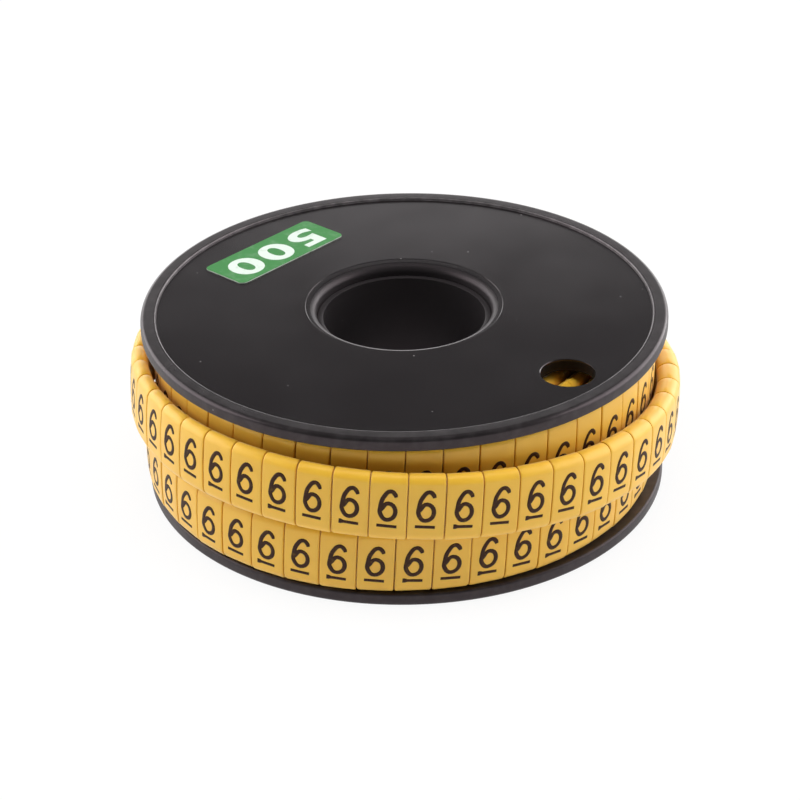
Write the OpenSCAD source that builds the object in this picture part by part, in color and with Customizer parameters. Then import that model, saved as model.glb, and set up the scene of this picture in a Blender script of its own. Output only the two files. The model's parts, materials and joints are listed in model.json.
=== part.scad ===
// Reel of numbered cable markers.
// Two moulded flange halves plug together at the hub, and a flattened yellow tube,
// knife-cut into markers, is wound on them two abreast with one last turn on top.
// The origin is the centre of the lower rim, and +Z runs up the hub.

/* [Flanges] */
// Diameter of both flanges
flange_d = 76; // [70:1:90]
// Thickness of a flange at its rim
flange_t = 2; // [1.8:0.1:3]
// Width of the raised rim round a flange
rim_w = 2.2; // [1.6:0.1:4]
// Height of the rim above the flange's outer face
rim_rise = 0.4; // [0.3:0.1:0.6]
// Rounding of the rim's outer edge
rim_round = 0.9; // [0.5:0.1:1.2]
// Rounding of the rim's edge beside the strip
back_round = 0.4; // [0.2:0.1:0.5]
// Rounding where the rim drops to the outer face
land_round = 0.2; // [0.1:0.05:0.25]

/* [Hub] */
// Diameter of the bore through the hub
bore_d = 23.4; // [18:0.2:26]
// Wall of the lower half's inner tube
tube_wall = 0.9; // [0.7:0.1:1.5]
// Wall of the upper half's outer sleeve
sleeve_wall = 1.35; // [1:0.05:2.5]
// Rounding of the bore's two mouths
mouth_round = 1.6; // [0.8:0.1:2]
// Depth of the inner tube's end below the upper face
tube_setback = 2; // [1.8:0.1:4]
// Gap all round between the inner tube and the sleeve
plug_clearance = 0.05; // [0.02:0.01:0.1]

/* [Sight hole] */
// Diameter of the round hole in the upper flange
hole_d = 7.6; // [4:0.2:10]
// Distance of that hole's edge from the rim
hole_margin = 1.8; // [0.6:0.2:8]
// Direction of that hole round the axis
hole_angle = -42.2; // [-180:0.1:180]

/* [Marker strip] */
// Width of the flattened tube
strip_w = 9.8; // [8:0.1:14]
// Thickness of the flattened tube
strip_t = 2.6; // [1.8:0.1:3]
// Length of one marker along the strip
marker_pitch = 4.98; // [4:0.02:8]
// Width of a knife cut at the outer face
cut_w = 0.35; // [0.2:0.05:0.6]
// Wall left uncut, which holds the markers together
web_t = 0.7; // [0.5:0.1:1]
// Depth by which neighbouring turns press into each other
turn_bite = 0.1; // [0.04:0.02:0.2]
// Gap between the hub and the first turn
hub_clearance = 0.1; // [0.05:0.05:0.3]
// Room beside the two strips in the reel
side_play = 3; // [1.6:0.1:5]
// Part of that room under the lower strip
lower_play = 0.15; // [0.1:0.05:0.3]
// Part of that room over the upper strip
upper_play = 0.4; // [0.3:0.1:1.2]

/* [Loose turns] */
// Sideways shift of the lower strip's outer turn
slack_shift = 1.2; // [0:0.05:1.4]
// Direction of that shift round the axis
slack_angle = 222; // [0:1:359]
// Height of the last turn's middle above the reel's middle
last_rise = 0.75; // [-2:0.05:2]
// Tilt of the last turn
last_tilt = 5; // [0:0.1:6]
// Direction of its high side round the axis
last_tilt_angle = -130; // [-180:1:180]
// Depth by which the last turn sinks into the turns under it
last_bed = 0.1; // [0.05:0.05:0.4]
// Direction of the strip's free end round the axis
end_angle = 90; // [0:1:359]
// Direction of a cut on the lower strip's outer turn
lower_cut_angle = -85.2; // [-180:0.1:180]
// Direction of a cut on the upper strip's outer turn
upper_cut_angle = -82.8; // [-180:0.1:180]
// Sweep of the climb from the lower turns to the upper ones, next to the hub
climb_sweep = 60; // [30:5:120]

/* [Label] */
// Length of the stuck-on label
label_l = 21; // [12:0.5:24]
// Width of the label
label_w = 8; // [5:0.5:10]
// Thickness of the label
label_t = 0.15; // [0.1:0.05:0.25]
// Rounding of the label's corners
label_round = 0.8; // [0.3:0.1:2]
// Distance of the label's middle from the hub's axis
label_reach = 26.4; // [22:0.2:27]
// Direction of the label round the axis
label_angle = 137; // [0:1:359]

/* [Hidden] */
$fn = 96;
flange_r = flange_d / 2;
bore_r = bore_d / 2;
tube_r = bore_r + tube_wall;
sleeve_in_r = tube_r + plug_clearance;
sleeve_r = sleeve_in_r + sleeve_wall;
reel_h = 2 * flange_t + 2 * strip_w + side_play;
face_z = reel_h - rim_rise;
tube_top = face_z - tube_setback;
core_r = sleeve_r + hub_clearance;
layers = round((flange_r - core_r) / strip_t);
winding_r = core_r + layers * strip_t;
lower_z = flange_t + lower_play + strip_w / 2;
upper_z = reel_h - flange_t - upper_play - strip_w / 2;
turn_t = strip_t + turn_bite;
outer_in_r = winding_r - strip_t;
last_in_r = winding_r - last_bed;
last_r = last_in_r + turn_t;
last_z = reel_h / 2 + last_rise;
end_gap = marker_step(last_r);
hole_reach = flange_r - rim_w - hole_margin - hole_d / 2;
plate_t = flange_t - rim_rise;
mouth_r = min(mouth_round, plate_t);
drill_over = 1;

// Angle that one marker takes on a turn whose outer radius is r
function marker_step(r) = 360 / round(2 * PI * r / marker_pitch);

// Quarter disc that rounds a corner, filling the side towards -X and -Y
module quarter_round(r) {
    intersection() {
        circle(r);
        translate([-r, -r])
            square(r);
    }
}

// Half section of a flange with its outer face down, from the bore mouth to the rim
module flange_section(inner_r) {
    plate_r = inner_r + mouth_r;
    land_r = flange_r - rim_w;
    translate([plate_r, rim_rise + mouth_r])
        quarter_round(mouth_r);
    translate([plate_r, rim_rise])
        square([land_r - plate_r, plate_t]);
    translate([land_r, land_round])
        square([land_round, flange_t - land_round]);
    translate([land_r + land_round, land_round])
        quarter_round(land_round);
    translate([land_r + land_round, 0])
        square([rim_w - land_round - rim_round, flange_t]);
    translate([flange_r - rim_round, rim_round])
        mirror([1, 0])
            quarter_round(rim_round);
    translate([flange_r - rim_round, rim_round])
        square([rim_round, flange_t - rim_round - back_round]);
    translate([flange_r - rim_round, flange_t - back_round])
        square([rim_round - back_round, back_round]);
    translate([flange_r - back_round, flange_t - back_round])
        rotate(180)
            quarter_round(back_round);
}

// Upper half: flange, sight hole and the outer sleeve of the hub
module upper_flange() {
    color("#2b292a")
        difference() {
            translate([0, 0, reel_h])
                mirror([0, 0, 1])
                    rotate_extrude() {
                        flange_section(sleeve_in_r);
                        translate([sleeve_in_r, rim_rise + mouth_r])
                            square([sleeve_wall, reel_h - flange_t - rim_rise - mouth_r]);
                    }
            rotate(hole_angle)
                translate([hole_reach, 0, reel_h - flange_t - drill_over])
                    cylinder(h = flange_t + 2 * drill_over, d = hole_d);
        }
}

// Lower half: flange and the inner tube that plugs into the sleeve
module lower_flange() {
    color("#2b292a")
        rotate_extrude() {
            flange_section(bore_r);
            translate([bore_r, rim_rise + mouth_r])
                square([tube_wall, tube_top - rim_rise - mouth_r]);
        }
}

// Section of the flattened tube, its inner face at radius r
module strip_section(r) {
    half_t = turn_t / 2;
    translate([r + half_t, 0]) {
        square([turn_t, strip_w - turn_t], center = true);
        for (side = [-1, 1])
            translate([0, side * (strip_w / 2 - half_t)])
                circle(half_t);
    }
}

// One turn cut into markers, its middle at z = 0 and its inner face at radius r.
// A whole turn has a cut at first_angle, and a shorter one starts there.
module cut_turn(r, first_angle, sweep = 360) {
    outer_r = r + turn_t;
    step = marker_step(outer_r);
    cut_sweep = 2 * asin(cut_w / 2 / outer_r);
    cuts = round(sweep / step) - (sweep < 360 ? 1 : 0);
    difference() {
        rotate_extrude(angle = sweep, start = first_angle)
            strip_section(r);
        for (i = [1 : cuts])
            rotate_extrude(angle = cut_sweep, start = first_angle + i * step - cut_sweep / 2)
                translate([r + web_t, -strip_w])
                    square([turn_t, 2 * strip_w]);
    }
}

// The turns under the outer one, wound one on the next
module inner_turns() {
    rotate_extrude()
        for (i = [0 : layers - 2])
            strip_section(core_r + i * strip_t);
}

// The stretch next to the hub where the strip climbs from the lower turns to the upper ones
module climb() {
    rotate_extrude(angle = climb_sweep, start = end_angle)
        translate([core_r, lower_z])
            square([strip_t, upper_z - lower_z]);
}

// All the strip: lower turns, upper turns and the last turn that rides on them
module marker_strip() {
    color("#e8b93c") {
        translate([0, 0, lower_z]) {
            inner_turns();
            translate(slack_shift * [cos(slack_angle), sin(slack_angle), 0])
                cut_turn(outer_in_r - slack_shift / 2, lower_cut_angle);
        }
        climb();
        translate([0, 0, upper_z]) {
            inner_turns();
            cut_turn(outer_in_r, upper_cut_angle);
        }
        translate([0, 0, last_z])
            rotate(last_tilt, [sin(last_tilt_angle), -cos(last_tilt_angle), 0])
                cut_turn(last_in_r, end_angle + end_gap / 2, 360 - end_gap);
    }
}

// Thin label stuck on the upper face, its long side across the radius
module label() {
    color("#46965a")
        rotate(label_angle)
            translate([label_reach, 0, face_z])
                linear_extrude(label_t) {
                    square([label_w - 2 * label_round, label_l], center = true);
                    square([label_w, label_l - 2 * label_round], center = true);
                    for (x = [-1, 1], y = [-1, 1])
                        translate([x * (label_w / 2 - label_round), y * (label_l / 2 - label_round)])
                            circle(label_round);
                }
}

upper_flange();
lower_flange();
marker_strip();
label();
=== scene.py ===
"""Reel of cable markers: two black mouldings, a yellow strip of printed markers and a green label."""
import json
import math
import random

import bmesh
import bpy
from mathutils import Matrix, Vector


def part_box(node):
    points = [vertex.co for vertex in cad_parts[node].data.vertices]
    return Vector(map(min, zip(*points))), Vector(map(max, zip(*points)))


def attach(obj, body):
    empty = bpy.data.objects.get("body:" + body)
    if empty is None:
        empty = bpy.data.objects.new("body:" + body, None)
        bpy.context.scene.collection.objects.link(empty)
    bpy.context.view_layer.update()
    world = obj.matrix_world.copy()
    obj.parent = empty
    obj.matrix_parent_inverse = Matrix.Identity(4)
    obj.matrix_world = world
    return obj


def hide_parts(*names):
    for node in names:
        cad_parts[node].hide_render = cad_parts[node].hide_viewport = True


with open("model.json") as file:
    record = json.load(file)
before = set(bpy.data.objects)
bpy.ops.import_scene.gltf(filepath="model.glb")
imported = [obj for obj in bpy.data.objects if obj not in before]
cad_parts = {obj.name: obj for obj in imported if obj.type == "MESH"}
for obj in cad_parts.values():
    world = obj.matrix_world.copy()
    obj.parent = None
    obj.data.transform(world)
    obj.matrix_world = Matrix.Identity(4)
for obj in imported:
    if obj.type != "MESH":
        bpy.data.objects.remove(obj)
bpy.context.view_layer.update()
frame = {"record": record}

bl_info = {
    "name": "Cable Marker Reel",
    "version": (1, 0, 0),
    "blender": (4, 5, 0),
    "location": "View3D > Sidebar > Marker Reel",
    "description": "Models a two-part reel wound with printed cable markers",
    "category": "Add Mesh",
}

MM = 0.001
BODY = "root"
UPPER_LOW, UPPER_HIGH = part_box("upper_flange")
LOWER_LOW, LOWER_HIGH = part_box("lower_flange")
STRIP_LOW, STRIP_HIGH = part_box("marker_strip")
LABEL_LOW, LABEL_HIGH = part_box("label")
FLANGE_RADIUS = UPPER_HIGH.x
REEL_HEIGHT = UPPER_HIGH.z
FLANGE_THICKNESS = UPPER_LOW.z
TUBE_TOP = LOWER_HIGH.z
LABEL_MIDDLE = (LABEL_LOW + LABEL_HIGH) / 2
LABEL_DIRECTION = math.atan2(LABEL_MIDDLE.y, LABEL_MIDDLE.x)
BORE_RADIUS = frame["record"]["mounts"][0]["dims"]["r_mm"] * MM
ROUND_STEPS = 192
SAME_PLACE = 0.02 * MM
SMOOTH_ANGLE = math.radians(40)
OUTER_FACETS = 6
INNER_FACETS = 3
LOWER_SEED, UPPER_SEED, LAST_SEED = 11, 12, 13
LOWER_INNER_SEED, UPPER_INNER_SEED = 100, 200


def length(name, description, millimetres):
    """A length setting, given in millimetres."""
    return bpy.props.FloatProperty(
        name=name, description=description, default=millimetres * MM, unit="LENGTH", precision=5)


def angle(name, description, degrees):
    """An angle setting, given in degrees."""
    return bpy.props.FloatProperty(
        name=name, description=description, default=math.radians(degrees),
        unit="ROTATION", subtype="ANGLE")


def factor(name, description, value):
    """A setting without a unit."""
    return bpy.props.FloatProperty(name=name, description=description, default=value)


def whole(name, description, value):
    """A setting that counts things."""
    return bpy.props.IntProperty(name=name, description=description, default=value)


def colour(name, description, rgb):
    """A colour setting, given as linear red, green and blue."""
    return bpy.props.FloatVectorProperty(
        name=name, description=description, default=(*rgb, 1.0), size=4,
        min=0.0, max=1.0, subtype="COLOR")


class ReelSizes(bpy.types.PropertyGroup):
    """Sizes of the two mouldings."""
    rim_width: length("Rim width", "Width of the raised rim round a flange", 2.2)
    rim_rise: length("Rim rise", "Height of the rim above the flange's outer face", 0.4)
    rim_round: length("Rim rounding", "Rounding of the rim's outer edge", 0.65)
    back_round: length("Back rounding", "Rounding of the rim's edge beside the strip", 0.4)
    land_round: length("Land rounding", "Rounding where the rim drops to the face", 0.2)
    tube_wall: length("Tube wall", "Wall of the lower half's inner tube", 0.9)
    sleeve_wall: length("Sleeve wall", "Wall of the upper half's outer sleeve", 1.35)
    plug_gap: length("Plug gap", "Gap between the inner tube and the sleeve", 0.05)
    face_crown: length("Face crown", "How far the upper face rises towards the hub", 0.38)
    tube_rise: length("Tube rise", "How much further the inner tube reaches up", 0.7)
    mouth_width: length("Mouth width", "Width of the sunk ring round the bore's mouths", 1.65)
    mouth_shift: length("Mouth shift", "How far that ring sits off the bore's middle", 0.5)
    mouth_step: length("Mouth step", "Depth of that ring's fine step", 0.05)
    mouth_slope: length("Mouth slope", "Width of that step, which slopes", 0.08)
    mouth_round: length("Mouth rounding", "Rounding of the bore's edge inside that ring", 1.1)
    tube_lip: length("Tube lip", "Rounding of the two tubes' ends", 0.15)
    hole_radius: length("Sight hole radius", "Radius of the hole in the upper flange", 3.8)
    hole_margin: length("Sight hole margin", "Distance of that hole from the rim", 1.8)
    hole_lip: length("Sight hole lip", "Chamfer round that hole", 0.05)
    hole_direction: angle("Sight hole direction", "Where that hole is, round the axis", -42.2)


class StripSizes(bpy.types.PropertyGroup):
    """Sizes of the wound strip."""
    width: length("Strip width", "Width of the flattened tube", 9.8)
    thickness: length("Strip thickness", "Thickness of the flattened tube", 2.6)
    shoulder: length("Shoulder", "Rounding of the flattened tube's long edges", 1.25)
    crown: length("Crown", "How far the flat sides fall towards their long edges", 0.22)
    crown_power: factor("Crown power", "How suddenly they fall near those edges", 2.2)
    wall: length("Tube wall", "Wall of the flattened tube, seen at the free ends", 0.75)
    bore_depth: length("Open depth", "How far the free ends are modelled hollow", 1.8)
    web: length("Web", "Inner wall that the knife leaves whole", 0.7)
    web_overlap: length("Web overlap", "How far that wall runs on past a marker's ends", 0.18)
    cut: length("Cut", "Gap that the knife leaves between two markers", 0.045)
    lip: length("Cut lip", "Rounding of a marker's edge beside a cut", 0.28)
    trim: factor("Trim", "Most that a marker is cut short, as a share", 0.02)
    hub_gap: length("Hub gap", "Gap between the hub and the first turn", 0.1)
    nudge: length("Nudge", "How far single markers sit out of line", 0.045)
    pitch: length("Marker pitch", "Length of one marker on the inner turns", 4.98)
    layers: whole("Layers", "Turns on top of each other", 9)
    lower_markers: whole("Lower markers", "Markers on the lower winding's outer turn", 46)
    upper_markers: whole("Upper markers", "Markers on the upper winding's outer turn", 45)
    last_markers: whole("Last markers", "Places for markers on the last turn", 49)
    free_place: whole("Free place", "The place left empty between the last turn's ends", 24)
    lower_radius: length("Lower radius", "Outer radius of the lower winding", 37.35)
    lower_slack: length("Lower slack", "How far the lower winding's outer turn has slid sideways", 1.25)
    lower_slack_direction: angle("Lower slack direction", "Where it has slid to", 225)
    lower_cut: angle("Lower cut", "Direction of one cut on the lower winding", -84.85)
    lower_lean: angle("Lower lean", "Lean of the lower winding's cuts", 3.2)
    upper_radius: length("Upper radius", "Outer radius of the upper winding", 36.4)
    upper_cut: angle("Upper cut", "Direction of one cut on the upper winding", -82.55)
    upper_lean: angle("Upper lean", "Lean of the upper winding's cuts", 3.5)
    upper_drop: length("Upper drop", "How far the upper winding's print runs lower on the strip", 1.4)
    inner_drop: length("Inner drop", "How far the upper winding's inner turns sit lower at most", 1.5)
    least_drop: factor("Least drop", "Least share of that drop which a turn takes", 0.4)
    last_radius: length("Last radius", "Outer radius of the last turn", 40.04)
    last_height: length("Last height", "Height of the last turn's middle", 14.05)
    last_tilt: angle("Last tilt", "Tilt of the last turn", 5.0)
    last_tilt_direction: angle("Last tilt direction", "Where the last turn is highest", -130)
    last_cut: angle("Last cut", "Direction of one cut on the last turn", -90.1)
    last_lift: length("Last lift", "How far the last turn's print runs higher on the strip", 0.25)
    last_fill: length("Last fill", "How far the last turn swells inward on the upper winding", 0.95)
    last_fill_direction: angle("Last fill direction", "Where the last turn swells most", 0)
    flatness: factor("Flatness", "Share by which a marker stays flat round the turn", 0.5)


class PrintSizes(bpy.types.PropertyGroup):
    """Sizes of the print on the markers and on the label."""
    height: length("Numeral height", "Height of the numeral over its strokes", 4.9)
    width: length("Numeral width", "Width of the numeral over its strokes", 2.65)
    stroke: length("Stroke", "Width of the numeral's stroke", 0.61)
    rise: length("Numeral rise", "Height of the numeral's middle over the strip's middle", 0.4)
    underline: length("Underline", "Length of the line under the numeral", 2.7)
    underline_stroke: length("Underline stroke", "Width of that line", 0.46)
    underline_drop: length("Underline drop", "Distance of that line under the numeral's middle", 3.1)
    ink: length("Ink", "How far the ink stands out", 0.015)
    skew: angle("Skew", "How far the print is turned on the marker", -2.5)
    count_height: length("Count height", "Letter size of the count on the label", 7.2)
    count_weight: length("Count weight", "How far the count's strokes are thickened", 0.22)
    count_spacing: factor("Count spacing", "Spacing of the count's figures", 1.2)
    count_stretch: factor("Count stretch", "How far the count is drawn out along the label", 1.45)
    label_round: length("Label corners", "Rounding of the label's corners", 0.9)
    label_length: length("Label length", "Long side of the label", 21.5)
    label_width: length("Label width", "Short side of the label", 8.2)


class StageSizes(bpy.types.PropertyGroup):
    """Size of the floor and place of the camera."""
    floor: length("Floor", "Side of the floor", 6000)
    distance: length("Camera distance", "Distance of the camera from a point on the hub's axis", 376.032)
    aim: length("Aim", "Height of that point", 12)
    stand: angle("Stand", "How high the camera stands over that point", 29.761)
    pitch: angle("Pitch", "How far the camera looks down", 29.929)
    yaw: angle("Yaw", "How far the camera looks to the side", -0.145)
    roll: angle("Roll", "How far the camera is turned about its view", -0.983)
    lens: factor("Lens", "Focal length of the camera in millimetres", 115)
    sensor: factor("Sensor", "Width of the camera's sensor in millimetres", 36)


class ReelColours(bpy.types.PropertyGroup):
    """Colours of the finishes."""
    plastic: colour("Plastic", "Black moulding", (0.0092, 0.0080, 0.0085))
    worn: colour("Worn plastic", "Rubbed rims of the moulding", (0.0145, 0.0130, 0.0135))
    sheen: colour("Sheen", "Tint of the moulding's reflections", (1.0, 0.80, 0.86))
    # The bore plastic is lighter than the plain plastic: painted light inside the hub, standing in for
    # light that reaches into the bore.
    bore: colour("Bore plastic", "Duller moulding inside the hub", (0.021, 0.0185, 0.0195))
    rubbed: colour("Rubbed plastic", "Lighter streaks on the rims", (0.028, 0.025, 0.026))
    # The settled dust line is partly dust and partly a painted highlight at the rim's inner step.
    settled_dust_and_highlight: colour("Settled dust", "Fine line of dust inside the rims", (0.15, 0.138, 0.141))
    dust: colour("Dust", "Specks on the moulding", (0.20, 0.19, 0.19))
    vinyl: colour("Vinyl", "Yellow strip", (0.89, 0.515, 0.038))
    vinyl_deep: colour("Deep vinyl", "Darker patches of the strip", (0.865, 0.485, 0.033))
    ink: colour("Ink", "Print on the markers", (0.045, 0.018, 0.010))
    label: colour("Label", "Green film", (0.026, 0.188, 0.036))
    label_edge: colour("Label edge", "Cut edge of the film", (0.78, 0.84, 0.76))
    label_print: colour("Label print", "White print on the film", (0.62, 0.70, 0.63))


class Turn:
    """The route of one turn of markers round the hub, and the place of each marker on it."""

    def __init__(self, radius, height, count, first_cut, seed):
        self.radius = radius
        self.height = height
        self.count = count
        self.first_cut = first_cut
        self.step = 2 * math.pi / count
        self.pitch = self.step * radius
        self.lean = 0.0
        self.slack = 0.0
        self.slack_direction = 0.0
        self.flatness = 0.0
        self.drop = 0.0
        self.fill = 0.0
        self.fill_direction = 0.0
        self.closing = 0.0
        self.turned = Matrix.Identity(4)
        chance = random.Random(seed)
        self.nudges = [[chance.uniform(-1, 1) for _ in range(3)] for _ in range(count)]
        self.trims = [chance.random() ** 2 for _ in range(count)]

    def tilt(self, amount, direction):
        """Lifts the turn's side at that direction."""
        axis = Vector((math.sin(direction), -math.cos(direction), 0))
        self.turned = Matrix.Rotation(amount, 4, axis)

    def place(self, number, point, nudge):
        """Where a point of a marker goes: x runs along the strip, y into it and z up."""
        s = bpy.context.scene.strip_sizes
        out, up, twist = (nudge * value for value in self.nudges[number])
        middle = self.first_cut + (number + 0.5) * self.step
        closed = self.closing * max(0.0, math.cos(middle - self.fill_direction)) ** 2
        along = point.x * (1 - s.trim * self.trims[number] * (1 - closed) + closed * s.cut / self.pitch)
        turn_angle = middle + (along + point.z * self.lean) / self.radius
        across = point.z - self.drop
        bulge = abs(2 * across / s.width) ** s.crown_power * (1 - 2 * point.y / s.thickness)
        reach = self.radius - point.y - s.crown * bulge + out + twist * point.x / self.pitch
        reach += self.slack * math.cos(turn_angle - self.slack_direction)
        reach += self.flatness * point.x ** 2 / (2 * self.radius)
        swollen = max(0.0, math.cos(turn_angle - self.fill_direction)) ** 2
        reach -= self.fill * swollen * max(0.0, point.y) / s.thickness
        flat = Vector((reach * math.cos(turn_angle), reach * math.sin(turn_angle), across + up))
        return self.turned @ flat + Vector((0, 0, self.height))


def lower_turn():
    """The lower winding's outer turn, which has slid sideways."""
    s = bpy.context.scene.strip_sizes
    turn = Turn(s.lower_radius, STRIP_LOW.z + s.width / 2, s.lower_markers, s.lower_cut, LOWER_SEED)
    turn.lean = math.tan(s.lower_lean)
    turn.slack = s.lower_slack
    turn.slack_direction = s.lower_slack_direction
    turn.flatness = s.flatness
    return turn


def upper_turn():
    """The upper winding's outer turn."""
    s = bpy.context.scene.strip_sizes
    turn = Turn(s.upper_radius, STRIP_HIGH.z - s.width / 2, s.upper_markers, s.upper_cut, UPPER_SEED)
    turn.lean = math.tan(s.upper_lean)
    turn.flatness = s.flatness
    return turn


def upper_print():
    """The route of the upper winding's print, which runs low on the strip."""
    turn = upper_turn()
    turn.drop = bpy.context.scene.strip_sizes.upper_drop
    return turn


def last_turn():
    """The last turn, which rides on both windings."""
    s = bpy.context.scene.strip_sizes
    turn = Turn(s.last_radius, s.last_height, s.last_markers, s.last_cut, LAST_SEED)
    turn.tilt(s.last_tilt, s.last_tilt_direction)
    turn.flatness = s.flatness
    turn.fill = s.last_fill
    turn.fill_direction = s.last_fill_direction
    turn.closing = 1.0
    return turn


def last_print():
    """The route of the last turn's print, which runs a little high on the strip."""
    turn = last_turn()
    turn.drop = -bpy.context.scene.strip_sizes.last_lift
    return turn


def inner_turns(height, seed, drop):
    """The turns between the hub and an outer turn."""
    r = bpy.context.scene.reel_sizes
    s = bpy.context.scene.strip_sizes
    hub_radius = BORE_RADIUS + r.tube_wall + r.plug_gap + r.sleeve_wall + s.hub_gap
    chance = random.Random(seed)
    for layer in range(1, s.layers):
        radius = hub_radius + layer * s.thickness
        count = round(2 * math.pi * radius / s.pitch)
        first_cut = chance.uniform(0, math.pi)
        sunk = drop * chance.uniform(s.least_drop, 1.0)
        yield Turn(radius, height - sunk, count, first_cut, seed + layer)


def places_on_last_turn():
    """Numbers of the places on the last turn that hold a marker."""
    s = bpy.context.scene.strip_sizes
    return [number for number in range(s.last_markers) if number != s.free_place]


# Modelling helpers

def clear_selection():
    """Leaves edit mode and deselects everything."""
    if bpy.context.mode != "OBJECT":
        bpy.ops.object.mode_set(mode="OBJECT")
    bpy.ops.object.select_all(action="DESELECT")


def fix_place():
    """Moves the active object's place, turn and scale into its mesh."""
    bpy.ops.object.transform_apply(location=True, rotation=True, scale=True)


def start_piece(name):
    """Names the primitive that was just added, and fixes its place in its mesh."""
    piece = bpy.context.active_object
    piece.name = name
    piece.data.name = name
    fix_place()
    return piece


def select_only(pieces):
    """Selects just these objects, the first of them active."""
    clear_selection()
    for piece in pieces:
        piece.select_set(True)
    bpy.context.view_layer.objects.active = pieces[0]


def pick(piece, kind, test):
    """In edit mode, selects just the verts, edges or faces that pass the test."""
    bpy.ops.mesh.select_mode(type={"verts": "VERT", "edges": "EDGE", "faces": "FACE"}[kind])
    bpy.ops.mesh.select_all(action="DESELECT")
    mesh = bmesh.from_edit_mesh(piece.data)
    mesh.normal_update()
    for part in getattr(mesh, kind):
        if test(part):
            part.select_set(True)
    mesh.select_flush_mode()
    bmesh.update_edit_mesh(piece.data)


def extrude(x=0.0, y=0.0, z=0.0):
    """Extrudes what is selected by that much."""
    bpy.ops.mesh.extrude_region_move(TRANSFORM_OT_translate={"value": (x, y, z)})


def on_ring(edge, radius, height):
    """Whether an edge runs along the ring of that radius and height."""
    return all(
        abs(math.hypot(v.co.x, v.co.y) - radius) < SAME_PLACE and abs(v.co.z - height) < SAME_PLACE
        for v in edge.verts)


def lies_on(vertex, radius):
    """Whether a vertex has that distance from the axis."""
    return abs(math.hypot(vertex.co.x, vertex.co.y) - radius) < SAME_PLACE


def round_ring(piece, radius, height, size, segments, profile=0.5):
    """Rounds the edge that runs along a ring."""
    pick(piece, "edges", lambda edge: on_ring(edge, radius, height))
    bpy.ops.mesh.bevel(offset=size, segments=segments, profile=profile, affect="EDGES")


def even_shading(piece):
    """Smooths the rounded stretches and keeps the flat faces flat."""
    select_only([piece])
    bpy.ops.object.shade_smooth_by_angle(angle=SMOOTH_ANGLE)
    modifier = piece.modifiers.new("Even shading", "WEIGHTED_NORMAL")
    modifier.keep_sharp = True
    bpy.ops.object.modifier_apply(modifier=modifier.name)


def hand_over(piece, material, slot, *nodes):
    """Gives a finished piece its material and its body, and hides the nodes that it stands for."""
    piece.data.materials.clear()
    piece.data.materials.append(material)
    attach(piece, BODY)
    if nodes:
        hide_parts(*nodes)


def remove(piece):
    """Deletes a pattern object that was only copied from."""
    select_only([piece])
    bpy.ops.object.delete()


def lay_copies(pattern, turn, numbers, nudge):
    """Copies a pattern to the given places on a turn, each copy with its own mesh."""
    copies = []
    for number in numbers:
        copy = pattern.copy()
        copy.data = pattern.data.copy()
        bpy.context.scene.collection.objects.link(copy)
        for vertex in copy.data.vertices:
            vertex.co = turn.place(number, vertex.co, nudge)
        copies.append(copy)
    return copies


def join(copies, name):
    """Joins copies into one piece."""
    select_only(copies)
    bpy.ops.object.join()
    piece = bpy.context.active_object
    piece.name = name
    piece.data.name = name
    return piece


# Materials

def new_material(name):
    """A material with its node tree and main shader."""
    material = bpy.data.materials.new(name)
    material.use_nodes = True
    return material, material.node_tree, material.node_tree.nodes["Principled BSDF"]


def noise(tree, scale, detail=2.0):
    """Noise on Object coordinates, with scale in waves a metre."""
    place = tree.nodes.new("ShaderNodeTexCoord")
    texture = tree.nodes.new("ShaderNodeTexNoise")
    texture.inputs["Scale"].default_value = scale
    texture.inputs["Detail"].default_value = detail
    tree.links.new(place.outputs["Object"], texture.inputs["Vector"])
    return texture.outputs["Fac"]


def span(tree, value, low, high, start, end):
    """Maps a value from low to high onto start to end."""
    ramp = tree.nodes.new("ShaderNodeMapRange")
    for socket, number in zip(("From Min", "From Max", "To Min", "To Max"), (low, high, start, end)):
        ramp.inputs[socket].default_value = number
    tree.links.new(value, ramp.inputs["Value"])
    return ramp.outputs["Result"]


def fade(tree, value, start, end):
    """A mask that is 0 where the value is at start and 1 where it is at end."""
    return span(tree, value, start, end, 0, 1)


def uneven(tree, smears, smooth, rough):
    """A roughness that smears spread between two values."""
    return span(tree, smears, 0.3, 0.7, smooth, rough)


def mixed(tree, share, first, second):
    """Mixes two colours, or a colour and a socket, by a share."""
    mix = tree.nodes.new("ShaderNodeMix")
    mix.data_type = "RGBA"
    tree.links.new(share, mix.inputs["Factor"])
    for name, value in (("A", first), ("B", second)):
        socket = next(i for i in mix.inputs if i.name == name and i.type == "RGBA")
        if isinstance(value, bpy.types.NodeSocket):
            tree.links.new(value, socket)
        else:
            socket.default_value = value
    return next(o for o in mix.outputs if o.type == "RGBA")


def paired(tree, operation, first, second):
    """Two values joined by a math operation."""
    pair = tree.nodes.new("ShaderNodeMath")
    pair.operation = operation
    tree.links.new(first, pair.inputs[0])
    tree.links.new(second, pair.inputs[1])
    return pair.outputs[0]


def bumped(tree, shader, height, strength, depth):
    """Bends the shader's normal by a height."""
    bump = tree.nodes.new("ShaderNodeBump")
    bump.inputs["Strength"].default_value = strength
    bump.inputs["Distance"].default_value = depth
    tree.links.new(height, bump.inputs["Height"])
    tree.links.new(bump.outputs["Normal"], shader.inputs["Normal"])


def blended(tree, share, first, second):
    """Blends two values by a share."""
    mix = tree.nodes.new("ShaderNodeMix")
    for value, socket in ((share, "Factor"), (first, "A"), (second, "B")):
        tree.links.new(value, mix.inputs[socket])
    return mix.outputs["Result"]


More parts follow.
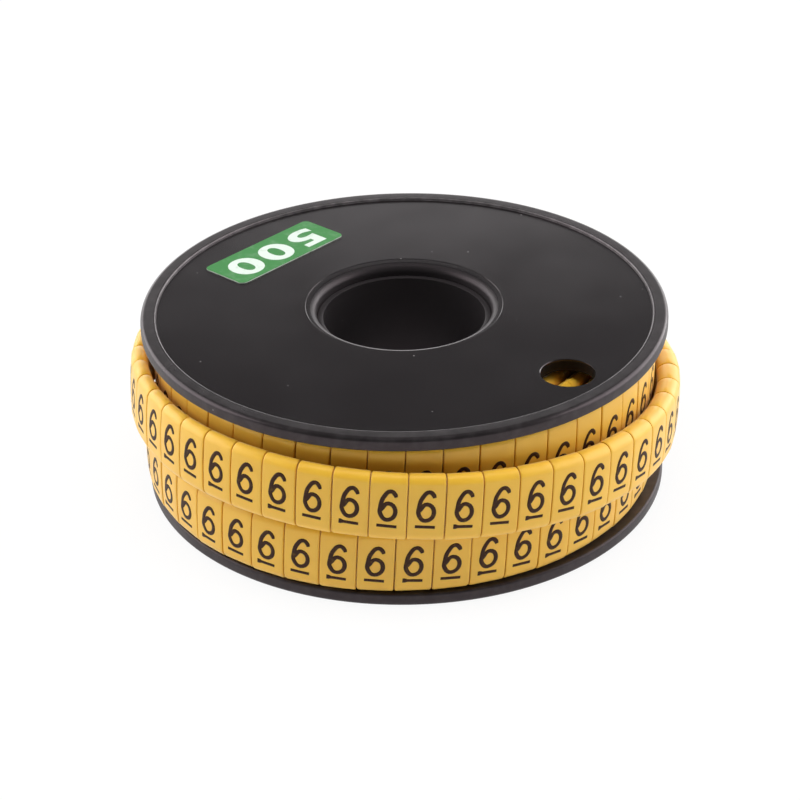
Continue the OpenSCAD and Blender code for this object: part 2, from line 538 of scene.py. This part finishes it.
def from_axis(tree):
    """Distance from the hub's axis, and height."""
    place = tree.nodes.new("ShaderNodeTexCoord")
    flat = tree.nodes.new("ShaderNodeVectorMath")
    flat.operation = "MULTIPLY"
    flat.inputs[1].default_value = (1, 1, 0)
    tree.links.new(place.outputs["Object"], flat.inputs[0])
    reach = tree.nodes.new("ShaderNodeVectorMath")
    reach.operation = "LENGTH"
    tree.links.new(flat.outputs["Vector"], reach.inputs[0])
    split = tree.nodes.new("ShaderNodeSeparateXYZ")
    tree.links.new(place.outputs["Object"], split.inputs["Vector"])
    return reach.outputs["Value"], split.outputs["Z"]


def dust_specks(tree):
    """A mask of small specks, in a few of the cells that they could lie in."""
    place = tree.nodes.new("ShaderNodeTexCoord")
    cells = tree.nodes.new("ShaderNodeTexVoronoi")
    cells.inputs["Scale"].default_value = 400
    tree.links.new(place.outputs["Object"], cells.inputs["Vector"])
    near = fade(tree, cells.outputs["Distance"], 0.06, 0.03)
    rare = fade(tree, cells.outputs["Color"], 0.70, 0.72)
    return paired(tree, "MULTIPLY", near, rare)


def dust_and_highlight_line(tree, reach, land, streaks):
    """A mask of the broken light line at the step inside a rim, partly settled dust and partly a painted
    highlight.
    """
    inside = fade(tree, reach, land - 0.15 * MM, land - 0.05 * MM)
    outside = fade(tree, reach, land + 0.24 * MM, land + 0.12 * MM)
    line = paired(tree, "MULTIPLY", inside, outside)
    return paired(tree, "MULTIPLY", line, span(tree, streaks, 0, 1, 0.6, 1))


def moulded_plastic():
    """Black satin moulding, duller off its flat face, with rubbed rims, a few specks of dust, a light line
    inside the rims that is partly dust and partly a painted highlight, and painted light that makes the
    plastic lighter inside the hub.
    """
    known = bpy.data.materials.get("moulded_plastic")
    if known:
        return known
    c = bpy.context.scene.reel_colours
    r = bpy.context.scene.reel_sizes
    material, tree, shader = new_material("moulded_plastic")
    reach, height = from_axis(tree)
    land = FLANGE_RADIUS - r.rim_width
    ring = BORE_RADIUS + r.mouth_width
    top = REEL_HEIGHT - r.rim_rise
    rim = fade(tree, reach, land + 0.15 * MM, land + 0.4 * MM)
    plate = fade(tree, reach, land - 0.1 * MM, land - 0.2 * MM)
    bore = fade(tree, reach, ring + 0.3 * MM, ring)
    off_bore = fade(tree, reach, ring, ring + 0.3 * MM)
    low = fade(tree, height, top - 0.1 * MM, top - 0.2 * MM)
    below = paired(tree, "MULTIPLY", low, off_bore)
    hole_wall = paired(tree, "MULTIPLY", below, plate)
    streaks = fade(tree, noise(tree, 700, 5), 0.42, 0.68)
    # Inside the hub the colour turns to the lighter bore plastic: painted light in the bore.
    plain = mixed(tree, bore, c.plastic, c.bore)
    rubbed = mixed(tree, rim, plain, mixed(tree, streaks, c.worn, c.rubbed))
    # Light line at the rim's inner step: partly settled dust, partly a painted highlight.
    dusty_and_lit = mixed(tree, dust_and_highlight_line(tree, reach, land, streaks), rubbed, c.settled_dust_and_highlight)
    tree.links.new(mixed(tree, dust_specks(tree), dusty_and_lit, c.dust), shader.inputs["Base Color"])
    smears = noise(tree, 90, 4)
    polish = blended(tree, rim, uneven(tree, smears, 0.18, 0.23), uneven(tree, smears, 0.27, 0.33))
    polish = blended(tree, bore, polish, uneven(tree, smears, 0.38, 0.42))
    polish = blended(tree, below, polish, uneven(tree, smears, 0.42, 0.50))
    tree.links.new(polish, shader.inputs["Roughness"])
    dim = paired(tree, "MAXIMUM", hole_wall, span(tree, bore, 0, 1, 0, 0.45))
    tree.links.new(span(tree, dim, 0, 1, 0.5, 0.12), shader.inputs["Specular IOR Level"])
    shader.inputs["Specular Tint"].default_value = c.sheen
    bumped(tree, shader, noise(tree, 4500), 0.06, 0.03 * MM)
    return material


def soft_vinyl():
    """Yellow satin vinyl with faint darker patches."""
    known = bpy.data.materials.get("soft_vinyl")
    if known:
        return known
    c = bpy.context.scene.reel_colours
    material, tree, shader = new_material("soft_vinyl")
    patches = fade(tree, noise(tree, 260, 3), 0.35, 0.7)
    tree.links.new(mixed(tree, patches, c.vinyl, c.vinyl_deep), shader.inputs["Base Color"])
    tree.links.new(uneven(tree, noise(tree, 500, 3), 0.38, 0.44), shader.inputs["Roughness"])
    shader.inputs["Specular IOR Level"].default_value = 0.55
    shader.inputs["Sheen Weight"].default_value = 0.2
    bumped(tree, shader, noise(tree, 2200), 0.08, 0.05 * MM)
    return material


def marker_ink():
    """Dark brown print, a little uneven."""
    c = bpy.context.scene.reel_colours
    material, tree, shader = new_material("marker_ink")
    thin = span(tree, noise(tree, 1500, 3), 0.55, 0.85, 0, 0.1)
    tree.links.new(mixed(tree, thin, c.ink, c.vinyl_deep), shader.inputs["Base Color"])
    shader.inputs["Roughness"].default_value = 0.45
    shader.inputs["Specular IOR Level"].default_value = 0.15
    return material


def label_green():
    """Green satin film."""
    c = bpy.context.scene.reel_colours
    material, tree, shader = new_material("label_green")
    worn = span(tree, noise(tree, 700, 4), 0.5, 0.9, 0, 0.12)
    tree.links.new(mixed(tree, worn, c.label, c.label_edge), shader.inputs["Base Color"])
    shader.inputs["Roughness"].default_value = 0.38
    shader.inputs["Specular IOR Level"].default_value = 0.28
    return material


def label_cut_edge():
    """Pale cut edge of the film."""
    c = bpy.context.scene.reel_colours
    material, tree, shader = new_material("label_cut_edge")
    stained = span(tree, noise(tree, 900, 3), 0.45, 0.9, 0, 0.8)
    tree.links.new(mixed(tree, stained, c.label_edge, c.label), shader.inputs["Base Color"])
    shader.inputs["Roughness"].default_value = 0.6
    return material


def label_white():
    """White print on the film."""
    c = bpy.context.scene.reel_colours
    material, tree, shader = new_material("label_white")
    thin = span(tree, noise(tree, 900, 4), 0.55, 0.9, 0, 0.4)
    tree.links.new(mixed(tree, thin, c.label_print, c.label), shader.inputs["Base Color"])
    shader.inputs["Roughness"].default_value = 0.5
    return material


# Mouldings

def face_slope():
    """How steeply the upper face rises towards the hub."""
    r = bpy.context.scene.reel_sizes
    ring = BORE_RADIUS + r.tube_wall + r.plug_gap + r.mouth_width
    return r.face_crown / (FLANGE_RADIUS - r.rim_width - ring)


def face_rise(reach):
    """How far the upper face has risen at a distance from the axis."""
    r = bpy.context.scene.reel_sizes
    return face_slope() * (FLANGE_RADIUS - r.rim_width - reach)


def model_flange(name, bore_radius, wall, tube_length, crown=0.0, shift=0.0):
    """Half a reel, its outer face up, its rim's top at z = 0 and its tube hanging down."""
    r = bpy.context.scene.reel_sizes
    rim_inside = FLANGE_RADIUS - r.rim_width
    face = -r.rim_rise
    tube_end = -tube_length
    clear_selection()
    bpy.ops.mesh.primitive_cylinder_add(
        vertices=ROUND_STEPS, radius=FLANGE_RADIUS, depth=FLANGE_THICKNESS,
        location=(0, 0, -FLANGE_THICKNESS / 2))
    piece = start_piece(name)
    bpy.ops.object.mode_set(mode="EDIT")
    pick(piece, "faces", lambda f: f.normal.z > 0.5)
    bpy.ops.mesh.inset(thickness=r.rim_width)
    extrude(z=face)
    bpy.ops.mesh.inset(thickness=rim_inside - bore_radius - r.mouth_width)
    bpy.ops.transform.translate(value=(0, 0, crown))
    bpy.ops.mesh.inset(thickness=r.mouth_slope)
    bpy.ops.transform.translate(value=(0, 0, -r.mouth_step))
    bpy.ops.mesh.inset(thickness=r.mouth_width - r.mouth_slope)
    mouth = face + crown - r.mouth_step
    extrude(z=tube_end - mouth)
    pick(piece, "faces", lambda f: f.normal.z < -0.5)
    bpy.ops.mesh.inset(thickness=FLANGE_RADIUS - bore_radius - wall)
    extrude(z=tube_end + FLANGE_THICKNESS)
    pick(piece, "faces", lambda f: len(f.verts) > 4)
    bpy.ops.mesh.delete(type="FACE")
    pick(piece, "edges", lambda e: e.is_boundary)
    bpy.ops.mesh.bridge_edge_loops()
    round_ring(piece, FLANGE_RADIUS, 0, r.rim_round, 8)
    round_ring(piece, FLANGE_RADIUS, -FLANGE_THICKNESS, r.back_round, 4)
    round_ring(piece, rim_inside, 0, r.land_round, 3)
    round_ring(piece, bore_radius, mouth, r.mouth_round, 8)
    ring = bore_radius + r.mouth_width
    pick(piece, "edges", lambda e: (
        on_ring(e, ring, face + crown) or on_ring(e, ring - r.mouth_slope, mouth)))
    bpy.ops.mesh.mark_sharp()
    if shift:
        pick(piece, "verts", lambda v: v.co.z > mouth - SAME_PLACE and (
            lies_on(v, ring) or lies_on(v, ring - r.mouth_slope)))
        bpy.ops.transform.translate(value=(0, shift, 0))
    round_ring(piece, bore_radius, tube_end, r.tube_lip, 2)
    round_ring(piece, bore_radius + wall, tube_end, r.tube_lip, 2)
    bpy.ops.mesh.select_all(action="SELECT")
    bpy.ops.mesh.normals_make_consistent(inside=False)
    bpy.ops.object.mode_set(mode="OBJECT")
    return piece


def cut_sight_hole(piece):
    """Cuts the round hole with its chamfered lip."""
    r = bpy.context.scene.reel_sizes
    reach = FLANGE_RADIUS - r.rim_width - r.hole_margin - r.hole_radius
    middle = Vector((reach * math.cos(r.hole_direction), reach * math.sin(r.hole_direction), 0))
    lip_low = face_rise(reach) - r.rim_rise - r.hole_lip
    depth = 2 * FLANGE_THICKNESS
    clear_selection()
    bpy.ops.mesh.primitive_cylinder_add(
        vertices=ROUND_STEPS // 2, radius=r.hole_radius, depth=depth,
        location=middle + Vector((0, 0, lip_low - depth / 2)))
    cutter = start_piece("sight_hole_cutter")
    bpy.ops.object.mode_set(mode="EDIT")
    pick(cutter, "faces", lambda f: f.normal.z > 0.5)
    extrude(z=2 * r.hole_lip)
    flare = (r.hole_radius + 2 * r.hole_lip) / r.hole_radius
    bpy.ops.transform.resize(value=(flare, flare, 1), center_override=middle)
    extrude(z=FLANGE_THICKNESS)
    bpy.ops.object.mode_set(mode="OBJECT")
    select_only([piece])
    modifier = piece.modifiers.new("Sight hole", "BOOLEAN")
    modifier.object = cutter
    modifier.operation = "DIFFERENCE"
    bpy.ops.object.modifier_apply(modifier=modifier.name)
    remove(cutter)


class REEL_OT_upper_flange(bpy.types.Operator):
    """Models the upper half of the reel with its sleeve and sight hole"""
    bl_idname = "reel.upper_flange"
    bl_label = "Upper Flange"

    def execute(self, context):
        r = context.scene.reel_sizes
        sleeve_inside = BORE_RADIUS + r.tube_wall + r.plug_gap
        sleeve_length = REEL_HEIGHT - UPPER_LOW.z
        piece = model_flange(
            "upper_moulding", sleeve_inside, r.sleeve_wall, sleeve_length, r.face_crown, r.mouth_shift)
        cut_sight_hole(piece)
        select_only([piece])
        piece.location.z = REEL_HEIGHT
        fix_place()
        even_shading(piece)
        hand_over(piece, moulded_plastic(), "reel_plastic", "upper_flange")
        return {"FINISHED"}


class REEL_OT_lower_flange(bpy.types.Operator):
    """Models the lower half of the reel with its inner tube"""
    bl_idname = "reel.lower_flange"
    bl_label = "Lower Flange"

    def execute(self, context):
        r = context.scene.reel_sizes
        piece = model_flange("lower_moulding", BORE_RADIUS, r.tube_wall, TUBE_TOP + r.tube_rise)
        select_only([piece])
        piece.rotation_euler.x = math.pi
        fix_place()
        even_shading(piece)
        hand_over(piece, moulded_plastic(), "reel_plastic", "lower_flange")
        return {"FINISHED"}


# Strip

def model_marker(name, marker_length, segments, steps=1, lip=0.0, web=0.0, open_ends=False):
    """One marker, its outer face in the plane y = 0 and facing -Y."""
    s = bpy.context.scene.strip_sizes
    flat = s.width / 2 - s.shoulder
    clear_selection()
    bpy.ops.mesh.primitive_cube_add(
        size=1, location=(0, s.thickness / 2, 0), scale=(marker_length, s.thickness, s.width))
    piece = start_piece(name)
    bpy.ops.object.mode_set(mode="EDIT")
    pick(piece, "edges", lambda e: abs(e.verts[0].co.x - e.verts[1].co.x) > marker_length / 2)
    bpy.ops.mesh.bevel(offset=s.shoulder, segments=segments, affect="EDGES")
    if steps > 1:
        pick(piece, "edges", lambda e: abs(e.verts[0].co.z - e.verts[1].co.z) > flat)
        bpy.ops.mesh.subdivide(number_cuts=5)
    if open_ends:
        for side in (-1, 1):
            pick(piece, "faces", lambda f: f.normal.x * side > 0.9)
            bpy.ops.mesh.inset(thickness=s.wall)
            extrude(x=-side * s.bore_depth)
    if steps > 1:
        pick(piece, "edges", lambda e: abs(e.verts[0].co.x - e.verts[1].co.x) > marker_length * 0.9)
        bpy.ops.mesh.subdivide(number_cuts=steps - 1)
    if lip:
        pick(piece, "edges", lambda e: all(abs(v.co.x) > marker_length / 2 - SAME_PLACE for v in e.verts))
        bpy.ops.mesh.bevel(offset=lip, segments=2, affect="EDGES")
    if web:
        web_length = marker_length + 2 * s.web_overlap
        bpy.ops.mesh.primitive_cube_add(
            size=1, location=(0, s.thickness - web / 2, 0), scale=(web_length, web, 2 * flat))
    bpy.ops.object.mode_set(mode="OBJECT")
    return piece


def wind_outer_turn(turn, numbers, open_numbers=()):
    """Lays the printed markers of an outer turn."""
    s = bpy.context.scene.strip_sizes
    marker_length = turn.pitch - s.cut
    pattern = model_marker("marker_pattern", marker_length, OUTER_FACETS, steps=3, lip=s.lip, web=s.web)
    closed = [number for number in numbers if number not in open_numbers]
    copies = lay_copies(pattern, turn, closed, s.nudge)
    remove(pattern)
    if open_numbers:
        pattern = model_marker("open_pattern", marker_length, OUTER_FACETS, lip=s.lip, open_ends=True)
        copies += lay_copies(pattern, turn, open_numbers, s.nudge)
        remove(pattern)
    return copies


def wind_inner_turns(height, seed, drop):
    """Lays the plainer markers of the turns under an outer one."""
    s = bpy.context.scene.strip_sizes
    pattern = model_marker("inner_pattern", s.pitch - s.cut, INNER_FACETS)
    copies = []
    for turn in inner_turns(height, seed, drop):
        copies += lay_copies(pattern, turn, range(turn.count), s.nudge)
    remove(pattern)
    return copies


def finish_strip(copies, name):
    """Joins markers into one piece of the strip."""
    piece = join(copies, name)
    even_shading(piece)
    hand_over(piece, soft_vinyl(), "strip_vinyl", "marker_strip")


class REEL_OT_lower_winding(bpy.types.Operator):
    """Winds the lower half of the strip"""
    bl_idname = "reel.lower_winding"
    bl_label = "Lower Winding"

    def execute(self, context):
        turn = lower_turn()
        copies = wind_outer_turn(turn, range(turn.count))
        copies += wind_inner_turns(turn.height, LOWER_INNER_SEED, 0)
        finish_strip(copies, "lower_winding")
        return {"FINISHED"}


class REEL_OT_upper_winding(bpy.types.Operator):
    """Winds the upper half of the strip"""
    bl_idname = "reel.upper_winding"
    bl_label = "Upper Winding"

    def execute(self, context):
        turn = upper_turn()
        drop = context.scene.strip_sizes.inner_drop
        copies = wind_outer_turn(turn, range(turn.count))
        copies += wind_inner_turns(turn.height, UPPER_INNER_SEED, drop)
        finish_strip(copies, "upper_winding")
        return {"FINISHED"}


class REEL_OT_last_turn(bpy.types.Operator):
    """Winds the last turn over both windings"""
    bl_idname = "reel.last_turn"
    bl_label = "Last Turn"

    def execute(self, context):
        s = context.scene.strip_sizes
        ends = (s.free_place - 1, s.free_place + 1)
        finish_strip(wind_outer_turn(last_turn(), places_on_last_turn(), ends), "last_turn")
        return {"FINISHED"}


# Print

def draw_stroke(curve, points, radii):
    """Adds one open stroke through the points, with a width factor at each."""
    stroke = curve.splines.new("BEZIER")
    stroke.bezier_points.add(len(points) - 1)
    for knot, (x, y), radius in zip(stroke.bezier_points, points, radii):
        knot.co = (x, y, 0)
        knot.radius = radius
        knot.handle_left_type = "AUTO"
        knot.handle_right_type = "AUTO"
    return stroke


def model_numeral(name, blot):
    """The underlined numeral, in the plane y = 0, with a blot on the underline or none."""
    p = bpy.context.scene.print_sizes
    half_w = (p.width - p.stroke) / 2
    half_h = (p.height - p.stroke) / 2
    bowl_top = 0.16 * half_h
    bowl_middle = (bowl_top - half_h) / 2
    clear_selection()
    bpy.ops.curve.primitive_bezier_curve_add(location=(0, 0, 0))
    piece = bpy.context.active_object
    curve = piece.data
    curve.splines.clear()
    knots = [
        (0.93 * half_w, 0.62 * half_h), (0.80 * half_w, 0.79 * half_h), (0.18 * half_w, half_h),
        (-0.64 * half_w, 0.62 * half_h), (-half_w, -0.1 * half_h),
        (-0.95 * half_w, bowl_middle - 0.2 * half_h), (0, -half_h), (half_w, bowl_middle),
        (0, bowl_top), (-0.93 * half_w, bowl_middle + 0.1 * half_h)]
    draw_stroke(curve, knots, [0.75] + [1.0] * (len(knots) - 1)).resolution_u = 5
    thin = p.underline_stroke / p.stroke
    reach = p.underline / 2
    drop = -p.underline_drop
    line = [(-reach, drop), (-0.8 * reach, drop), (-0.5 * reach, drop), (0.8 * reach, drop), (reach, drop)]
    widths = [1.5 * thin, 1.6 * thin, thin, thin, 0.9 * thin] if blot else [thin] * 5
    draw_stroke(curve, line, widths).resolution_u = 1
    curve.bevel_depth = p.stroke / 2
    curve.bevel_resolution = 1
    curve.use_fill_caps = True
    curve.dimensions = "3D"
    bpy.ops.object.convert(target="MESH")
    piece = bpy.context.active_object
    piece.name = name
    piece.scale.z = p.ink / (p.stroke / 2)
    fix_place()
    piece.rotation_euler.x = math.pi / 2
    fix_place()
    piece.rotation_euler.y = -p.skew
    piece.location = (0, -0.6 * p.ink, p.rise)
    fix_place()
    return piece


class REEL_OT_numerals(bpy.types.Operator):
    """Prints the underlined numeral on every marker that shows"""
    bl_idname = "reel.numerals"
    bl_label = "Numerals"

    def execute(self, context):
        s = context.scene.strip_sizes
        patterns = [model_numeral("plain_numeral", False), model_numeral("blotted_numeral", True)]
        lower, upper, last = lower_turn(), upper_print(), last_print()
        rows = [(lower, range(lower.count)), (upper, range(upper.count)), (last, places_on_last_turn())]
        copies = []
        for turn, numbers in rows:
            for odd, pattern in enumerate(patterns):
                chosen = [number for number in numbers if number % 2 == odd]
                copies += lay_copies(pattern, turn, chosen, s.nudge)
        for pattern in patterns:
            remove(pattern)
        piece = join(copies, "numerals")
        hand_over(piece, marker_ink(), "strip_vinyl")
        return {"FINISHED"}


# Label

def lay_on_face(piece, middle):
    """Turns and lifts a flat piece onto the rising upper face, where the label lies."""
    piece.rotation_euler = (math.atan(face_slope()), 0, LABEL_DIRECTION + math.pi / 2)
    piece.location = middle + Vector((0, 0, face_rise(LABEL_MIDDLE.xy.length)))
    fix_place()


def model_film(thickness):
    """The label's film, with round corners and a pale cut edge."""
    p = bpy.context.scene.print_sizes
    clear_selection()
    bpy.ops.mesh.primitive_cube_add(size=1, scale=(p.label_length, p.label_width, thickness))
    film = start_piece("label_film")
    bpy.ops.object.mode_set(mode="EDIT")
    pick(film, "edges", lambda e: abs(e.verts[0].co.z - e.verts[1].co.z) > thickness / 2)
    bpy.ops.mesh.bevel(offset=p.label_round, segments=6, affect="EDGES")
    bpy.ops.object.mode_set(mode="OBJECT")
    lay_on_face(film, LABEL_MIDDLE)
    hand_over(film, label_green(), "label_film", "label")
    film.data.materials.append(label_cut_edge())
    for face in film.data.polygons:
        face.material_index = 0 if face.normal.z > 0.5 else 1


def model_count(thickness):
    """The count printed on the film."""
    p = bpy.context.scene.print_sizes
    clear_selection()
    bpy.ops.object.text_add(location=(0, 0, 0))
    text = bpy.context.active_object.data
    text.body = "500"
    text.size = p.count_height
    text.align_x = "CENTER"
    text.align_y = "CENTER"
    text.offset = p.count_weight
    text.space_character = p.count_spacing
    text.extrude = p.ink / 2
    bpy.ops.object.convert(target="MESH")
    count = bpy.context.active_object
    count.name = "label_count"
    count.scale.x = p.count_stretch
    fix_place()
    lay_on_face(count, LABEL_MIDDLE + Vector((0, 0, thickness / 2)))
    hand_over(count, label_white(), "label_film")


class REEL_OT_label(bpy.types.Operator):
    """Models the label and its count"""
    bl_idname = "reel.label"
    bl_label = "Label"

    def execute(self, context):
        thickness = LABEL_HIGH.z - LABEL_LOW.z
        model_film(thickness)
        model_count(thickness)
        return {"FINISHED"}


# Stage

def add_softbox(name, place, target, size, power):
    """A large soft lamp that faces a point."""
    bpy.ops.object.light_add(type="AREA", location=place)
    lamp = bpy.context.active_object
    lamp.name = name
    lamp.data.shape = "RECTANGLE"
    lamp.data.size, lamp.data.size_y = size
    lamp.data.energy = power
    lamp.rotation_euler = (Vector(target) - Vector(place)).to_track_quat("-Z", "Y").to_euler()


def floor_white():
    """White paper, seen as white by the camera, with a faint shadow; in reflections it glows white close
    in front of the reel and dims further out, a painted glow that the reel reflects.
    """
    material, tree, shader = new_material("floor_white")
    paper = 0.92
    shader.inputs["Base Color"].default_value = (paper, paper, paper, 1)
    shader.inputs["Roughness"].default_value = 0.9
    shader.inputs["Specular IOR Level"].default_value = 0.0
    glow = tree.nodes.new("ShaderNodeEmission")
    glow.inputs["Color"].default_value = (1, 1, 1, 1)
    path = tree.nodes.new("ShaderNodeLightPath")
    place = tree.nodes.new("ShaderNodeTexCoord")
    split = tree.nodes.new("ShaderNodeSeparateXYZ")
    tree.links.new(place.outputs["Object"], split.inputs["Vector"])
    # Painted glow: reflections see the paper glowing white near the reel, dimmer further out.
    near = span(tree, split.outputs["Y"], -0.16, -0.08, 0.1, 1)
    mirrored = paired(tree, "MULTIPLY", path.outputs["Is Glossy Ray"], near)
    share = paired(tree, "MAXIMUM", path.outputs["Is Camera Ray"], path.outputs["Is Transmission Ray"])
    share = paired(tree, "MAXIMUM", share, mirrored)
    mix = tree.nodes.new("ShaderNodeMixShader")
    tree.links.new(span(tree, share, 0, 1, 0, paper), mix.inputs["Fac"])
    tree.links.new(shader.outputs["BSDF"], mix.inputs[1])
    tree.links.new(glow.outputs["Emission"], mix.inputs[2])
    tree.links.new(mix.outputs["Shader"], tree.nodes["Material Output"].inputs["Surface"])
    return material


def light_tent():
    """World light like a tent: bright low down and dim overhead."""
    world = bpy.data.worlds.new("light_tent")
    bpy.context.scene.world = world
    world.use_nodes = True
    tree = world.node_tree
    place = tree.nodes.new("ShaderNodeTexCoord")
    split = tree.nodes.new("ShaderNodeSeparateXYZ")
    tree.links.new(place.outputs["Generated"], split.inputs["Vector"])
    wall = span(tree, split.outputs["Z"], 0.0, 0.42, 0.95, 0.05)
    low = paired(tree, "MAXIMUM", wall, span(tree, split.outputs["Z"], 0.3, 0.65, 0.26, 0.03))
    behind = span(tree, split.outputs["Y"], -0.5, 0.2, 0.04, 1.0)
    glow = tree.nodes.new("ShaderNodeMath")
    glow.operation = "MULTIPLY_ADD"
    glow.inputs[2].default_value = 0.03
    tree.links.new(low, glow.inputs[0])
    tree.links.new(behind, glow.inputs[1])
    tree.links.new(glow.outputs[0], tree.nodes["Background"].inputs["Strength"])
    tree.nodes["Background"].inputs["Color"].default_value = (1, 1, 1, 1)


def add_camera():
    """The camera, which stands in front of the reel and looks down on it."""
    g = bpy.context.scene.stage_sizes
    bpy.ops.object.camera_add()
    camera = bpy.context.active_object
    height = g.aim + g.distance * math.sin(g.stand)
    place = Matrix.Translation((0, -g.distance * math.cos(g.stand), height))
    turned = Matrix.Rotation(-g.yaw, 4, "Z") @ Matrix.Rotation(math.pi / 2 - g.pitch, 4, "X")
    camera.matrix_world = place @ turned @ Matrix.Rotation(g.roll, 4, "Z")
    camera.data.sensor_width = g.sensor
    camera.data.lens = g.lens
    camera.data.clip_start = 0.01
    bpy.context.scene.camera = camera


class REEL_OT_stage(bpy.types.Operator):
    """Sets the floor, the lamps and the camera"""
    bl_idname = "reel.stage"
    bl_label = "Stage"

    def execute(self, context):
        clear_selection()
        bpy.ops.mesh.primitive_plane_add(size=context.scene.stage_sizes.floor)
        floor = context.active_object
        floor.name = "floor"
        floor.data.materials.append(floor_white())
        light_tent()
        side_target = (0, 0.1, 0.02)
        add_softbox("left_softbox", (-0.65, 0.25, 0.32), side_target, size=(1.1, 0.6), power=5.7)
        add_softbox("right_softbox", (0.65, 0.25, 0.32), side_target, size=(1.1, 0.6), power=6.2)
        add_softbox("overhead", (0, -0.05, 0.45), (0, -0.05, 0), size=(0.4, 0.2), power=1.6)
        context.active_object.visible_glossy = False
        add_softbox("back_panel", (0.08, 0.55, 0.113), (0, 0, 0.05), size=(1.0, 0.22), power=1.2)
        add_camera()
        context.scene.view_settings.view_transform = "Standard"
        return {"FINISHED"}


class REEL_PT_panel(bpy.types.Panel):
    """Lists the steps of the reel in the sidebar"""
    bl_idname = "REEL_PT_panel"
    bl_label = "Marker Reel"
    bl_space_type = "VIEW_3D"
    bl_region_type = "UI"
    bl_category = "Marker Reel"

    def draw(self, context):
        for operator in OPERATORS:
            self.layout.operator(operator.bl_idname)
        for settings in SETTINGS:
            group = getattr(context.scene, settings)
            box = self.layout.box()
            for name in group.__annotations__:
                box.prop(group, name)


OPERATORS = (
    REEL_OT_upper_flange, REEL_OT_lower_flange, REEL_OT_lower_winding, REEL_OT_upper_winding,
    REEL_OT_last_turn, REEL_OT_numerals, REEL_OT_label, REEL_OT_stage)
SETTINGS = {
    "reel_sizes": ReelSizes, "strip_sizes": StripSizes, "print_sizes": PrintSizes,
    "stage_sizes": StageSizes, "reel_colours": ReelColours}


def register():
    """Adds the settings, the operators and the panel."""
    for group in SETTINGS.values():
        bpy.utils.register_class(group)
    for name, group in SETTINGS.items():
        setattr(bpy.types.Scene, name, bpy.props.PointerProperty(type=group))
    for operator in OPERATORS:
        bpy.utils.register_class(operator)
    bpy.utils.register_class(REEL_PT_panel)


def unregister():
    """Takes them away again."""
    bpy.utils.unregister_class(REEL_PT_panel)
    for operator in reversed(OPERATORS):
        bpy.utils.unregister_class(operator)
    for name, group in SETTINGS.items():
        delattr(bpy.types.Scene, name)
        bpy.utils.unregister_class(group)


def main():
    """Models the reel step by step."""
    register()
    bpy.ops.reel.upper_flange()
    bpy.ops.reel.lower_flange()
    bpy.ops.reel.lower_winding()
    bpy.ops.reel.upper_winding()
    bpy.ops.reel.last_turn()
    bpy.ops.reel.numerals()
    bpy.ops.reel.label()
    bpy.ops.reel.stage()


if __name__ == "__main__":
    main()
